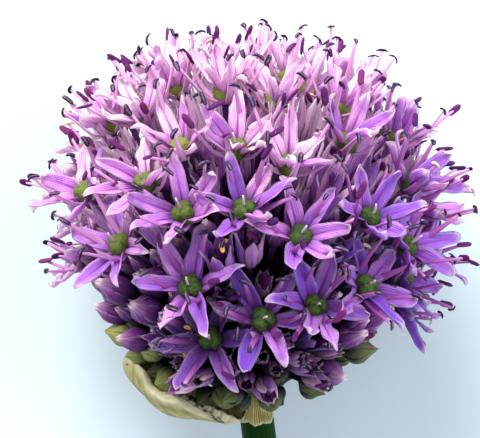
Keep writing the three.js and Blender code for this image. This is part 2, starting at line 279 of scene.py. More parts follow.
def lay_out_buds(florets):
    around = fixed_buds + [floret.direction for floret in florets]
    free_count = BUD_COUNT - len(fixed_buds)
    free = [spiral(index, free_count, BUD_START, BUD_END) for index in range(free_count)]
    buds = []
    for index, direction in enumerate(fixed_buds + spread_out(around, free, BUD_START, BUD_END)):
        part = bud_part(direction)
        reach = (UPPER_BUDS[index][2] if index < len(fixed_buds)
                 else lerp(BUD_REACH_START, BUD_REACH_END, part))
        buds.append(Flower("bud", direction, reach, 0, lerp(1, SMALLEST_BUD, part)))
    return buds


def lay_out_small_buds(flowers):
    """Small buds that fill the gaps lower down, past the number the CAD source can hold."""
    small = []
    taken = [flower.place for flower in flowers]
    for count, from_angle, to_angle in SMALL_BANDS:
        for index in range(count):
            direction = spiral(index, count, from_angle, to_angle)
            below = angle_from_axis(direction) > BUD_START
            reach = (lerp(SMALL_REACH_START, SMALL_REACH_END, bud_part(direction)) if below
                     else floret_reach(direction) - SMALL_DROP)
            bud = Flower("small", direction, reach + (index % 3 - 1) * REACH_STEP * 2, 0, SMALL_SIZE)
            if min(norm(bud.place - place) for place in taken) > SMALL_ROOM:
                small.append(bud)
                taken.append(bud.place)
    return small


def gather_cymes(flowers):
    """Flowers by the foot that their pedicels share, in the CAD source's order."""
    directions = np.array([spiral(index, CYME_COUNT, 0, CYME_LIMIT, AXIS)
                           for index in range(CYME_COUNT)])
    feet = RECEPTACLE + directions * (RECEPTACLE_RADIUS + FOOT_GAP)
    groups = [[] for _ in range(CYME_COUNT)]
    for flower in sorted(flowers, key=lambda flower: flower.kind == "small"):
        likeness = directions @ unit(flower.place - RECEPTACLE)
        if flower.kind == "small":
            likeness[[not group for group in groups]] = UNLIKE
        nearest = int(np.argmax(likeness))
        flower.foot = feet[nearest]
        groups[nearest].append(flower)
    return [group for group in groups if group]


def pressed_up(points):
    """Where the head lies on the surface, its florets bend up and lie flat on it."""
    points = points.copy()
    points[:, 2] = PRESS * np.log1p(np.exp(points[:, 2] / PRESS))
    return points


def lifted(points):
    """The places that the soft floor has pressed up to these."""
    points = points.copy()
    points[:, 2] = PRESS * np.log(np.expm1(np.maximum(points[:, 2], LOWEST) / PRESS))
    return points


def tree_of(points):
    tree = KDTree(len(points))
    for index, point in enumerate(points):
        tree.insert(point, index)
    tree.balance()
    return tree


cad_points = np.concatenate([
    np.array([vertex.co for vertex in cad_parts[name].data.vertices])
    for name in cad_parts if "_cyme_" in name]) / MM - PLACE


def find_young_buds(buds):
    """Young buds between the florets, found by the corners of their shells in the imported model."""
    tree = tree_of(cad_points)
    known = tree_of([bud.place for bud in buds])
    low_point = HEAD_CENTRE - AXIS * FACING_DROP
    half_length = BUD_LENGTH / 2 * YOUNG_SIZE
    turn = ring_turns(BUD_SIDES)
    # A bud in CAD is a stretched ball of few faces. These are its corners 45 degrees from its tip.
    ring = np.stack([np.cos(turn) * BUD_RADIUS * YOUNG_SIZE, np.sin(turn) * BUD_RADIUS * YOUNG_SIZE,
                     0 * turn + half_length], axis=-1) * -math.sqrt(0.5)
    ring[:, 2] *= -1
    young = []
    for tip in lifted(cad_points):
        from_head = tip - unit(tip - low_point) * half_length - HEAD_CENTRE
        bud = Flower("bud", unit(from_head), norm(from_head), 0, YOUNG_SIZE)
        corners = pressed_up(bud.world(ring))
        if any(tree.find(corner)[2] > CORNER_ERROR for corner in corners):
            continue
        is_listed = known.find(bud.place)[2] < BUD_RADIUS
        if is_listed or any(norm(bud.place - other.place) < SAME_PLACE for other in young):
            continue
        young.append(bud)
    return sorted(young, key=lambda bud: bud.place @ SORT_ALONG)


florets = lay_out_florets()
buds = lay_out_buds(florets)
flowers = florets + buds
young_buds = find_young_buds(buds)
flowers = flowers + young_buds
buds = buds + young_buds
flowers = flowers + lay_out_small_buds(flowers)
for number, flower in enumerate(flowers):
    flower.number = number
    flower.chance = np.random.default_rng(FIRST_SEED + number)
cymes = gather_cymes(flowers)

# ---- Mesh helpers ----


class Skin:
    """Points, quads, material numbers and colour data of one piece, gathered organ by organ."""

    def __init__(self):
        self.points = []
        self.quads = []
        self.triangles = []
        self.quad_slots = []
        self.triangle_slots = []
        self.data = []
        self.count = 0

    def tube(self, rings, slot, along, around, tone, tint):
        """Adds a closed tube through rings of points, shaped (rows, columns, 3), with fans as its ends."""
        rows, columns = rings.shape[:2]
        start = self.count
        index = start + np.arange(rows * columns).reshape(rows, columns)
        following = np.roll(index, -1, axis=1)
        quads = np.stack([index[:-1], following[:-1], following[1:], index[1:]], axis=-1)
        self.quads.append(quads.reshape(-1, 4))
        self.quad_slots.append(np.full((rows - 1) * columns, slot))
        first, last = start + rows * columns, start + rows * columns + 1
        low_fan = np.stack([np.full(columns, first), following[0], index[0]], axis=-1)
        high_fan = np.stack([np.full(columns, last), index[-1], following[-1]], axis=-1)
        self.triangles.append(np.concatenate([low_fan, high_fan]))
        self.triangle_slots.append(np.full(2 * columns, slot))
        self.points.append(rings.reshape(-1, 3))
        self.points.append(np.array([rings[0].mean(axis=0), rings[-1].mean(axis=0)]))
        along = np.broadcast_to(np.asarray(along)[:, None], (rows, columns)).ravel()
        around = np.broadcast_to(np.asarray(around)[None], (rows, columns)).ravel()
        along = np.append(along, [along[0], along[-1]])
        around = np.append(around, [0.5, 0.5])
        count = rows * columns + 2
        self.data.append(np.stack([along, around, np.full(count, tone), np.full(count, tint)], axis=-1))
        self.count += count

    def piece(self, name, materials, pressed=True):
        """Makes the object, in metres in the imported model's frame."""
        points = np.concatenate(self.points)
        if pressed:
            points = pressed_up(points)
        points = (points + PLACE) * MM
        quads = np.concatenate(self.quads)
        triangles = np.concatenate(self.triangles)
        mesh = bpy.data.meshes.new(name)
        mesh.from_pydata(points.tolist(), [], quads.tolist() + triangles.tolist())
        slots = np.concatenate(self.quad_slots + self.triangle_slots)
        mesh.polygons.foreach_set("material_index", slots.astype(np.int32))
        mesh.polygons.foreach_set("use_smooth", np.ones(len(slots), bool))
        organ = mesh.attributes.new("organ", "FLOAT_COLOR", "POINT")
        organ.data.foreach_set("color", np.concatenate(self.data).astype(np.float32).ravel())
        for material in materials:
            mesh.materials.append(material)
        mesh.update()
        made = bpy.data.objects.new(name, mesh)
        bpy.context.scene.collection.objects.link(made)
        return made


def spine_from(angles, places):
    """Points in a plane through steps whose angle from the axis is given, as (out, up)."""
    step = np.diff(places)
    middle = (angles[1:] + angles[:-1]) / 2
    out = np.concatenate([[0], np.cumsum(np.sin(middle) * step)])
    up = np.concatenate([[0], np.cumsum(np.cos(middle) * step)])
    return out, up


def frames_along(spine, upward):
    """Sides and normals along a line of points; upward is a first guess of the normal."""
    tangent = np.gradient(spine, axis=0)
    tangent /= norm(tangent, axis=1)[:, None]
    normals = []
    normal = upward
    for direction in tangent:
        normal = unit(normal - direction * (normal @ direction))
        normals.append(normal)
    normals = np.array(normals)
    return np.cross(normals, tangent), normals


def turned(side, normal, angles):
    """Side and normal turned about the line by an angle at each point."""
    ahead, aside = np.cos(angles)[:, None], np.sin(angles)[:, None]
    return side * ahead + normal * aside, normal * ahead - side * aside


def round_tube(spine, upward, widths, heights, columns):
    """Rings of an elliptic tube along a line."""
    side, normal = frames_along(spine, upward)
    turn = ring_turns(columns)
    return (spine[:, None]
            + side[:, None] * (np.cos(turn) * np.asarray(widths)[:, None])[..., None]
            + normal[:, None] * (np.sin(turn) * np.asarray(heights)[:, None])[..., None])


# ---- Organs, in millimetres; a floret's own frame has its ovary's centre at the origin ----

PETAL, FILAMENT, ANTHER, OVARY, STYLE, PEDICEL, BUD = range(7)
UP = np.array([0, 0, 1.0])

TEPAL_ROWS = 18
TEPAL_EDGE = np.linspace(-1, 1, 7)
TEPAL_FOOT_OUT = 0.75
TEPAL_FOOT_UP = -1.25
TEPAL_OPENING = (36, 69)  # degrees from the axis, at the crown and at the bloom's edge
TEPAL_HOOKS = [30, 70, 95, 120, -30]
TEPAL_HALF_WIDTH = 1.26
CRUMPLED_TONE = 0.8


def sixth(number):
    """The turn of one of the six organs of a ring."""
    return number * math.pi / 3


def outward(turn):
    return np.array([math.cos(turn), math.sin(turn), 0])


def line_about(turn, out, aside, up):
    """A line of points from their distances out, aside and up in a floret's own frame."""
    sideways = np.array([-math.sin(turn), math.cos(turn), 0])
    return outward(turn) * out[:, None] + sideways * aside[:, None] + UP * up[:, None]


def hump(value, width):
    """A smooth hump of height 1 where the value is zero."""
    return np.exp(-(value / width) ** 2)


def rounded(edge):
    """The thickness across a blade, full along its middle and thin at its edges."""
    return np.sqrt(np.clip(1.02 - edge ** 2, 0, 1))


class Tepal:
    """One tepal's posture. Opening is its angle from the floret's axis in degrees."""

    def __init__(self, floret, number):
        chance = floret.chance
        draw = chance.uniform
        floret_age = age(floret.direction)
        self.floret = floret
        self.turn = sixth(number) + rad(draw(-11, 11))
        self.opening = lerp(*TEPAL_OPENING, floret_age) + draw(-13, 9)
        self.length = TEPAL_LENGTH * floret.size * draw(0.93, 1.06)
        self.hook = chance.choice(TEPAL_HOOKS)
        self.bend = draw(-0.16, 0.16)
        self.arch = draw(-16, 34)
        self.twist = rad(draw(-48, 48))
        self.fold = draw(0.35, 1.1)
        self.width = TEPAL_HALF_WIDTH * lerp(0.86, 1, floret_age) * draw(0.85, 1.08)
        self.ripple = draw(0, 2 * math.pi)
        self.tone = draw(0, 1)
        is_crumpled = self.tone > CRUMPLED_TONE
        self.wave = 0.5 if is_crumpled else 0.2
        self.length *= 0.88 if is_crumpled else 1

    def spine(self):
        share = 1 - (1 - np.linspace(0, 1, TEPAL_ROWS)) ** 1.35
        angles = self.opening - 30 * np.exp(-share / 0.1) + self.arch * (share - 0.5)
        angles = angles - self.hook * smooth(share, 0.8, 0.98)
        out, up = spine_from(np.radians(angles), share * self.length)
        aside = self.bend * self.length * share ** 2
        return share, line_about(self.turn, out + TEPAL_FOOT_OUT, aside, up + TEPAL_FOOT_UP)

    def rings(self):
        share, line = self.spine()
        side, normal = frames_along(line, UP - outward(self.turn) * 0.3)
        side, normal = turned(side, normal, self.twist * share)
        width = self.width * lerp(0.46, 1, smooth(share, 0, 0.4)) * (1 - share ** 5.5) ** 0.85
        width = width + 0.06
        fold = self.fold * lerp(1.1, 0.55, smooth(share, 0.1, 0.6)) + 0.55 * smooth(share, 0.75, 0.95)
        edge = TEPAL_EDGE
        rise = (fold * width)[:, None] * np.abs(edge) ** 1.25
        wave = (np.sin(share * 13 + self.ripple)[:, None] * edge ** 3 * self.wave
                * smooth(share, 0.1, 0.5)[:, None])
        groove = -0.09 * hump(edge, 0.2)
        thick = (0.05 + 0.1 * (1 - share) ** 0.5)[:, None] * rounded(edge)

        def surface(height):
            return (line[:, None] + side[:, None] * (edge * width[:, None])[..., None]
                    + normal[:, None] * height[..., None])

        upper = surface(rise + wave + groove + thick)
        lower = surface(rise + wave - thick)[:, -2:0:-1]
        around = np.concatenate([TEPAL_EDGE, TEPAL_EDGE[-2:0:-1]]) / 2 + 0.5
        return share, around[::-1], np.concatenate([upper, lower], axis=1)[:, ::-1]


def add_tepals(skin, floret):
    for tepal in floret.tepals:
        share, around, rings = tepal.rings()
        skin.tube(floret.placed(rings), PETAL, share, around, tepal.tone, floret.pink)


def add_stalk(skin, flower, slot, share, rings):
    around = np.linspace(0, 1, rings.shape[1])
    skin.tube(rings, slot, share, around, flower.chance.uniform(0, 1), flower.pink)


FILAMENT_ROWS = 10
FILAMENT_SIDES = 6
FILAMENT_FOOT_OUT = 0.95
FILAMENT_FOOT_UP = -1.05
FILAMENT_FOOT_LEAN = 62
FILAMENT_LENGTH = (6.2, 8.6)


def add_stamens(skin, floret):
    draw = floret.chance.uniform
    share = np.linspace(0, 1, FILAMENT_ROWS)
    widths = lerp(0.25, 0.72, (1 - share) ** 1.4)
    heights = lerp(0.18, 0.28, (1 - share) ** 2)
    for number in range(TEPAL_COUNT):
        turn = sixth(number) + rad(draw(-9, 9))
        lean = draw(8, 44)
        length = draw(*FILAMENT_LENGTH) * lerp(1.25, 1, age(floret.direction))
        angles = lerp(FILAMENT_FOOT_LEAN, lean, smooth(share, 0.05, 0.45)) + draw(-14, 14) * share
        out, up = spine_from(np.radians(angles), share * length)
        sway = draw(-0.9, 0.9) * share ** 2
        line = line_about(turn, out + FILAMENT_FOOT_OUT, sway, up + FILAMENT_FOOT_UP)
        rings = round_tube(line, -outward(turn), widths, heights, FILAMENT_SIDES)
        add_stalk(skin, floret, FILAMENT, share, floret.placed(rings))
        add_anther(skin, floret, line[-1], unit(line[-1] - line[-2]))


ANTHER_ROWS = 9
ANTHER_SIDES = 10
ANTHER_KINDS = ["dry", "full", "pale"]
ANTHER_CHANCES = [0.62, 0.34, 0.04]
ANTHER_TONES = {"dry": (0.0, 0.3), "full": (0.4, 0.6), "pale": (0.7, 1)}
FULL_ANTHER = {"length": (2.2, 2.8), "radius": (0.34, 0.42), "curl": (-15, 15)}
SHRUNK_ANTHER = {"length": (1.6, 2.3), "radius": (0.2, 0.3), "curl": (40, 150)}


def add_anther(skin, flower, place, heading):
    """A full anther is straight and plump, a dry or a pale one is curled, thin and dented."""
    chance = flower.chance
    draw = chance.uniform
    kind = chance.choice(ANTHER_KINDS, p=ANTHER_CHANCES)
    full = kind == "full"
    build = FULL_ANTHER if full else SHRUNK_ANTHER
    length = draw(*build["length"])
    radius = draw(*build["radius"])
    curl = rad(draw(*build["curl"]))
    across = unit(np.cross(heading, chance.normal(size=3)))
    forward = 1 if full else draw(0, 0.8)
    axis = unit(heading * forward + across * draw(0.2, 0.9))
    upward = unit(axis * (heading @ axis) - heading)
    share = np.linspace(0, 1, ANTHER_ROWS)
    angles = (share - 0.5) * curl
    step = length / (ANTHER_ROWS - 1)
    bow = np.cumsum(np.sin(angles)) * step
    run = np.cumsum(np.cos(angles)) * step
    line = place + axis * (run - run.mean())[:, None] + upward * (bow - bow.mean())[:, None]
    taper = np.sqrt(np.clip(1 - (2 * share - 1) ** 4, 0.05, 1))
    dents = 1 if full else 1 + 0.22 * np.sin(share * 17 + draw(0, 6))
    rings = round_tube(line, upward, radius * taper * 1.25, radius * taper * 0.8 * dents, ANTHER_SIDES)
    high = np.sin(ring_turns(ANTHER_SIDES))
    notch = 1 - 0.3 * hump(high - 1, 0.25) - 0.25 * hump(high + 1, 0.25)
    rings = line[:, None] + (rings - line[:, None]) * notch[:, None]
    tones = {name: draw(*tone) for name, tone in ANTHER_TONES.items()}
    skin.tube(flower.placed(rings), ANTHER, share, high / 2 + 0.5, tones[kind], flower.pink)


OVARY_COLUMNS = 36
OVARY_ROWS = 20
OVARY_HALF_HEIGHT = 1.55
OVARY_LOBES = 3
OVARY_FURROW = 0.26
WART_DEPTH = 0.08
WARTS_AROUND = 13
WARTS_DOWN = 12
STYLE_ROWS = 6
STYLE_SIDES = 6


def add_ovary(skin, floret):
    """A warty ovary of three lobes with its short style."""
    draw = floret.chance.uniform
    turn = ring_turns(OVARY_COLUMNS)
    down = np.linspace(0.03, 0.97, OVARY_ROWS)[::-1] * math.pi
    start = draw(0, 2)
    lobe = np.abs(np.cos(OVARY_LOBES / 2 * (turn - start)))
    lobes = 1 - OVARY_FURROW + OVARY_FURROW * lobe ** 0.55
    warts = (np.sin(WARTS_AROUND * turn + 3 * down[:, None] + start)
             * np.sin(WARTS_DOWN * down[:, None] - 2 * turn + 2 * start))
    swells = 0.05 * np.sin(6 * turn + 1) * np.sin(5 * down[:, None] + start)
    bumps = 1 + WART_DEPTH * warts + swells
    across = OVARY_RADIUS * (np.sin(down) ** 0.85)[:, None] * lobes * bumps
    height = OVARY_HALF_HEIGHT * np.cos(down) - 0.35 * hump(down, 0.35)
    rings = np.stack([across * np.cos(turn), across * np.sin(turn),
                      np.broadcast_to(height[:, None], across.shape)], axis=-1)
    tone = draw(0, 1)
    skin.tube(floret.placed(rings), OVARY, 1 - down / math.pi, lobe, tone, floret.pink)
    share = np.linspace(0, 1, STYLE_ROWS)
    tilt = draw(0, 2 * math.pi)
    lean = draw(0.1, 0.6)
    line = np.stack([math.cos(tilt) * lean * share ** 2, math.sin(tilt) * lean * share ** 2,
                     0.9 + share * draw(1.7, 2.6)], axis=-1)
    radii = lerp(0.2, 0.13, share)
    rings = round_tube(line, np.array([1.0, 0, 0]), radii, radii, STYLE_SIDES)
    add_stalk(skin, floret, STYLE, share, floret.placed(rings))


PEDICEL_ROWS = 12
PEDICEL_SIDES = 7
PEDICEL_SINK = 0.15  # into the receptacle's skin
PEDICEL_RADIUS = 0.36


def add_pedicel(skin, flower, top):
    """A thin stalk with a slight bow from the receptacle to the flower."""
    chance = flower.chance
    end = flower.world(np.array([[0, 0, top]]))[0]
    share = np.linspace(0, 1, PEDICEL_ROWS)
    start = RECEPTACLE + unit(flower.foot - RECEPTACLE) * (RECEPTACLE_RADIUS - PEDICEL_SINK)
    chord = end - start
    aside = unit(np.cross(chord, chance.normal(size=3)))
    arrive = flower.facing * norm(chord) - chord
    line = (start + chord * share[:, None]
            + aside * (np.sin(share * math.pi) * chance.uniform(0.1, 0.8))[:, None]
            - arrive * (share * share * (1 - share))[:, None])
    radii = PEDICEL_RADIUS + 0.16 * smooth(share, 0.85, 1) + 0.12 * (1 - smooth(share, 0, 0.1))
    rings = round_tube(line, unit(np.cross(chord, aside)), radii, radii, PEDICEL_SIDES)
    add_stalk(skin, flower, PEDICEL, share, rings)


BUD_ROWS = 12
SMALL_BUD_ROWS = 9
BUD_EDGE = np.linspace(-1, 1, 7)
SMALL_BUD_EDGE = np.linspace(-1, 1, 5)
BUD_TEPALS = (0, 2, 4, 1, 3, 5)  # the even ones are the outer ones
BUD_IS_OPEN = 0.36
BUD_SHOWS_ANTHERS = 0.5
BUD_FOOT = 0.46  # where the pedicel ends, as a share of the bud's length
OPEN_HALF_WIDTH = 1.05
BUD_THICKNESS = 0.07
LEAST_REACH = 0.02


def add_bud(skin, flower):
    """Six tepals that wrap round each other, with parted tips; a half-open bud spreads them."""
    draw = flower.chance.uniform
    is_small = flower.kind == "small"
    is_open = flower.opened > BUD_IS_OPEN
    full_length = BUD_LENGTH * flower.size
    radius = BUD_RADIUS * flower.size * lerp(1.3, 1, flower.pink)
    length = full_length * (1 + 0.8 * flower.opened) * lerp(0.85, 1, flower.pink)
    base = full_length / 2
    share = np.linspace(0.0, 1, SMALL_BUD_ROWS if is_small else BUD_ROWS)
    closed = np.sin(np.clip(share, 0.012, 0.995) ** 0.78 * math.pi) ** 0.62
    closed = closed * (1 - 0.6 * smooth(share, 0.6, 1))
    opened = 0.3 + lerp(0.75, 1.5, smooth(flower.opened, 0.5, 1)) * share ** 1.2
    start = draw(0, math.pi)
    edge = SMALL_BUD_EDGE if is_small else BUD_EDGE
    for number in BUD_TEPALS:
        spread = flower.opened * draw(0.8, 1.25)
        across = radius * lerp(closed, opened, spread * smooth(share, 0.1, 0.8))
        across = across * (1 if number % 2 == 0 else 0.93) + LEAST_REACH
        middle = start + sixth(number) + draw(-0.08, 0.08)
        narrowing = lerp(1, 1.7, smooth(share, 0.72, 1) * (1 - flower.opened))
        wrap = lerp(0.66, 0.5, flower.opened) * narrowing
        if is_open:
            half_width = OPEN_HALF_WIDTH * lerp(0.5, 1, smooth(share, 0, 0.45)) * (1 - share ** 4) ** 0.85
            wrap = np.minimum(half_width / across, 0.75) + 0.03
        turn = middle + edge * wrap[:, None] + draw(-0.25, 0.25) * share[:, None]
        keel = (lerp(0.05, 0.13, flower.pink) * radius * (1 - np.abs(edge)) ** 1.5
                * smooth(share, 0.05, 0.4)[:, None])
        curl = draw(0, 0.05) * smooth(share, 0.8, 1) * radius * flower.pink
        crumple = (np.sin(share * 11 + number * 2)[:, None] * np.abs(edge) ** 3 * 0.1 * radius
                   * flower.pink)
        reach = across[:, None] + keel + curl[:, None] + crumple * smooth(share, 0.2, 0.6)[:, None]
        height = (share * length - base + draw(-0.1, 0.35) * share ** 4)[:, None] + 0 * edge
        height = height - 0.1 * length * (np.abs(edge) ** 2) * smooth(share, 0.6, 1)[:, None]
        thick = BUD_THICKNESS * rounded(edge)

        def surface(distance):
            return np.stack([distance * np.cos(turn), distance * np.sin(turn), height], axis=-1)

        inner = surface(np.maximum(reach - thick, LEAST_REACH))[:, -2:0:-1]
        rings = flower.placed(np.concatenate([surface(reach + thick), inner], axis=1))
        around = np.concatenate([edge, edge[-2:0:-1]])
        tone = draw(0, 1)
        if is_open:
            skin.tube(rings, PETAL, 0.25 + 0.73 * share, around / 2 + 0.5, tone, flower.petal_pink)
        else:
            skin.tube(rings, BUD, share, np.abs(around), tone, flower.pink)
    if flower.opened > BUD_SHOWS_ANTHERS:
        for _ in range(4):
            turn = draw(0, 2 * math.pi)
            lift = length * draw(0.7, 0.95) - base
            place = outward(turn) * radius * draw(0.2, 0.8) + np.array([0, 0, lift])
            add_anther(skin, flower, place, UP)


SETTLE_ROUNDS = 14
SETTLE_ROWS = (6, 8, 10, 12, 14)  # rows of a tepal that look for neighbours
TEPAL_ROOM = 1.5
CENTRE_ROOM = 2.4
FAR = 9
SINK = 0.7  # how much less the inner tepal moves
OPENING_PER_PUSH = 1.6
OPENING_STEP = 4
OPENING_LIMITS = (30, 84)


def settle_tepals(florets, buds):
    """Tepals of neighbours that cross are moved apart: the one farther out lifts, the other sinks."""
    tepals = [tepal for floret in florets for tepal in floret.tepals]
    centres = np.array([flower.place for flower in florets + buds])
    floret_numbers = np.array([tepal.floret.number for tepal in tepals])
    for _ in range(SETTLE_ROUNDS):
        places, owners = [], []
        for index, tepal in enumerate(tepals):
            line = tepal.floret.world(tepal.spine()[1])
            for row in SETTLE_ROWS:
                places.append(line[row])
                owners.append(index)
        tree = tree_of(places)
        push = np.zeros(len(tepals))
        for index, place in enumerate(places):
            mine = tepals[owners[index]]
            height = norm(place - HEAD_CENTRE)
            for _, other, distance in tree.find_range(place, TEPAL_ROOM):
                theirs = tepals[owners[other]]
                if theirs.floret is mine.floret:
                    continue
                higher = height > norm(places[other] - HEAD_CENTRE)
                push[owners[index]] += (TEPAL_ROOM - distance) * (-1 if higher else SINK)
        gaps = norm(np.array(places)[:, None] - centres[None], axis=2)
        gaps[floret_numbers[owners][:, None] == np.arange(len(centres))[None]] = FAR
        np.subtract.at(push, owners, TEPAL_ROOM * np.clip(CENTRE_ROOM - gaps, 0, None).sum(axis=1))
        for tepal, amount in zip(tepals, push):
            change = max(-OPENING_STEP, min(OPENING_STEP, amount * OPENING_PER_PUSH))
            tepal.opening = min(OPENING_LIMITS[1], max(OPENING_LIMITS[0], tepal.opening + change))


# ---- Materials; colours are linear red, green and blue ----

NOISE_DETAIL = 3.0
# Painted shade darkens the head's inside; a pale flower counts as lying farther out and gets less of it.
PALE_LIFT = 8 * MM  # how much farther out a pale flower counts as lying
INNER_SHADE = (0.006, 0.002, 0.012)


class Nodes:
    """A small hand for wiring a material's nodes."""

    def __init__(self, name):
        self.material = bpy.data.materials.new(name)
        self.material.use_nodes = True
        self.tree = self.material.node_tree
        self.tree.nodes.clear()
        output = self.node("OutputMaterial")
        self.shader = self.node("BsdfPrincipled")
        self.link(self.shader.outputs["BSDF"], output.inputs["Surface"])
        # Each point's organ colour holds along, around, tone and tint; on florets the tint is partly
        # painted light.
        organ = self.node("Attribute")
        organ.attribute_name = "organ"
        parts = self.node("SeparateColor")
        self.link(organ.outputs["Color"], parts.inputs["Color"])
        self.along = parts.outputs["Red"]
        self.around = parts.outputs["Green"]
        self.tone = parts.outputs["Blue"]
        self.pink = organ.outputs["Alpha"]
        self.object_place = self.node("TexCoord").outputs["Object"]
        axes = self.node("SeparateXYZ")
        self.link(self.object_place, axes.inputs[0])
        self.rightward = axes.outputs[0]
        from_centre = self.node("VectorMath")
        from_centre.operation = "DISTANCE"
        self.link(self.object_place, from_centre.inputs[0])
        from_centre.inputs[1].default_value = (PLACE + HEAD_CENTRE) * MM
        self.depth = from_centre.outputs["Value"]

    def node(self, kind):
        return self.tree.nodes.new("ShaderNode" + kind)

    def link(self, source, target):
        self.tree.links.new(source, target)

    def put(self, value, socket):
        """Links a socket, or sets a number or a colour on the node's own socket."""
        if isinstance(value, bpy.types.NodeSocket):
            self.link(value, socket)
        elif isinstance(value, tuple):
            socket.default_value = (*value, 1)
        else:
            socket.default_value = value

    def maths(self, operation, *values):
        node = self.node("Math")
        node.operation = operation
        for value, socket in zip(values, node.inputs):
            self.put(value, socket)
        return node.outputs[0]

    def times(self, first, second):
        return self.maths("MULTIPLY", first, second)

    def plus(self, first, second):
        return self.maths("ADD", first, second)

    def scaled(self, value, factor, offset):
        return self.maths("MULTIPLY_ADD", value, factor, offset)

    def between(self, value, low, high, from_value=0.0, to_value=1.0):
        """A smooth step from one value to another while the first goes from low to high."""
        node = self.node("MapRange")
        node.interpolation_type = "SMOOTHSTEP"
        for setting, socket in zip((value, low, high, from_value, to_value), node.inputs):
            self.put(setting, socket)
        return node.outputs["Result"]

    def to_the_right(self, low_mm, high_mm, from_value, to_value):
        """A smooth step from left to right, in millimetres from the head's middle."""
        low, high = (PLACE[0] + low_mm) * MM, (PLACE[0] + high_mm) * MM
        return self.between(self.rightward, low, high, from_value, to_value)

    def mix(self, part, first, second):
        node = self.node("Mix")
        node.data_type = "RGBA"
        self.put(part, node.inputs[0])
        self.put(first, node.inputs[6])
        self.put(second, node.inputs[7])
        return node.outputs[2]

    def shaded(self, colour, low_mm, high_mm, darkest):
        """Painted shade: darker towards the head's centre, less so under the pale crown."""
        depth = self.scaled(self.pink, PALE_LIFT, self.depth)
        return self.mix(self.between(depth, low_mm * MM, high_mm * MM, 1 - darkest, 0), colour, INNER_SHADE)

    def noise(self, size_mm):
        node = self.node("TexNoise")
        node.inputs["Scale"].default_value = 1 / (size_mm * MM)
        node.inputs["Detail"].default_value = NOISE_DETAIL
        self.link(self.object_place, node.inputs["Vector"])
        return node.outputs[0]

    def mottled(self, colour, size_mm, part, spots):
        """Soft spots of another colour, up to the part given."""
        return self.mix(self.times(self.noise(size_mm), part), colour, spots)

    def rough(self, size_mm, low, high):
        """Roughness that varies over the surface."""
        return self.between(self.noise(size_mm), 0.2, 0.8, low, high)

    def ramp(self, value, stops):
        node = self.node("ValToRGB")
        while len(node.color_ramp.elements) < len(stops):
            node.color_ramp.elements.new(0.5)
        for element, (place, colour) in zip(node.color_ramp.elements, stops):
            element.position = place
            element.color = (*colour, 1)
        self.link(value, node.inputs["Fac"])
        return node.outputs["Color"]

    def bump(self, height, depth_mm, strength):
        node = self.node("Bump")
        node.inputs["Strength"].default_value = strength
        node.inputs["Distance"].default_value = depth_mm * MM
        self.link(height, node.inputs["Height"])
        self.link(node.outputs["Normal"], self.shader.inputs["Normal"])

    def done(self, colour, roughness, gloss=0.5, soft=None):
        """Soft is how much light goes under the skin, how far in each colour, and the scale of that."""
        self.link(colour, self.shader.inputs["Base Color"])
        self.put(roughness, self.shader.inputs["Roughness"])
        self.shader.inputs["Specular IOR Level"].default_value = gloss
        for part, value in zip(("Weight", "Radius", "Scale"), soft or ()):
            self.shader.inputs[f"Subsurface {part}"].default_value = value
        return self.material


# From deep violet to pale pink; the pale end, on the florets toward the lit top, is partly their age and
# partly painted light.
PETAL_HUES = [(0.0, (0.16, 0.055, 0.44)), (0.35, (0.37, 0.145, 0.56)), (0.65, (0.72, 0.30, 0.65)),
              (0.9, (0.95, 0.54, 0.79)), (1.0, (0.98, 0.62, 0.84))]
PETAL_STRIPES = 62.0  # radians of stripes across a tepal


def petal_material():
    n = Nodes("petal")
    across = n.maths("ABSOLUTE", n.scaled(n.around, 2.0, -1.0))
    mottle = n.noise(1.6)
    # The flower's pink sets the hue and how strong the pale tips are; it is partly age and partly painted
    # light.
    hue = n.plus(n.pink, n.scaled(n.tone, 0.56, -0.26))
    hue = n.plus(hue, n.scaled(mottle, 0.4, -0.2))
    colour = n.ramp(hue, PETAL_HUES)
    stripes = n.maths("SINE", n.times(n.around, PETAL_STRIPES))
    fading = n.between(n.along, 0.98, 0.35)
    stripe_part = n.times(n.between(stripes, 0.0, 1.0), n.times(fading, 0.28))
    colour = n.mix(stripe_part, colour, (0.17, 0.035, 0.36))
    rib = n.times(n.between(across, 0.24, 0.03), n.times(fading, 0.85))
    colour = n.mix(rib, colour, (0.19, 0.02, 0.33))
    edge = n.times(n.between(across, 0.5, 1.0), n.between(n.along, 0.3, 0.9, 0.0, 0.24))
    colour = n.mix(edge, colour, (0.80, 0.62, 0.90))
    foot = n.times(n.between(n.along, 0.5, 0.02), 0.9)
    colour = n.mix(foot, colour, (0.13, 0.012, 0.22))
    fringe = n.plus(n.along, n.scaled(mottle, 0.1, -0.05))
    tip = n.times(n.between(fringe, 0.82, 0.99), n.scaled(n.pink, 0.35, 0.5))
    colour = n.mix(tip, colour, (0.93, 0.66, 0.78))
    colour = n.shaded(colour, 20, 30.5, 0.04)
    n.bump(n.plus(n.times(stripes, 0.5), n.noise(0.5)), 0.08, 0.8)
    roughness = n.between(mottle, 0.2, 0.8, 0.5, 0.7)
    return n.done(colour, roughness, gloss=0.25, soft=(0.4, (1.0, 0.6, 1.0), 0.0009))


FILAMENT_HUES = [(0.0, (0.09, 0.01, 0.17)), (0.35, (0.22, 0.035, 0.26)), (0.8, (0.34, 0.09, 0.34)),
                 (1.0, (0.50, 0.22, 0.42))]


def filament_material():
    n = Nodes("filament")
    colour = n.ramp(n.along, FILAMENT_HUES)
    # Paler pink on the flowers toward the lit top, partly their age and partly painted light.
    colour = n.mix(n.between(n.pink, 0.25, 0.95, 0.0, 0.95), colour, (0.90, 0.48, 0.76))
    colour = n.mottled(colour, 0.8, 0.3, (0.30, 0.08, 0.34))
    colour = n.shaded(colour, 19, 30, 0.05)
    n.bump(n.noise(0.3), 0.03, 0.5)
    return n.done(colour, n.rough(1.0, 0.4, 0.6), gloss=0.3, soft=(0.1, (1.0, 0.6, 1.0), 0.0005))


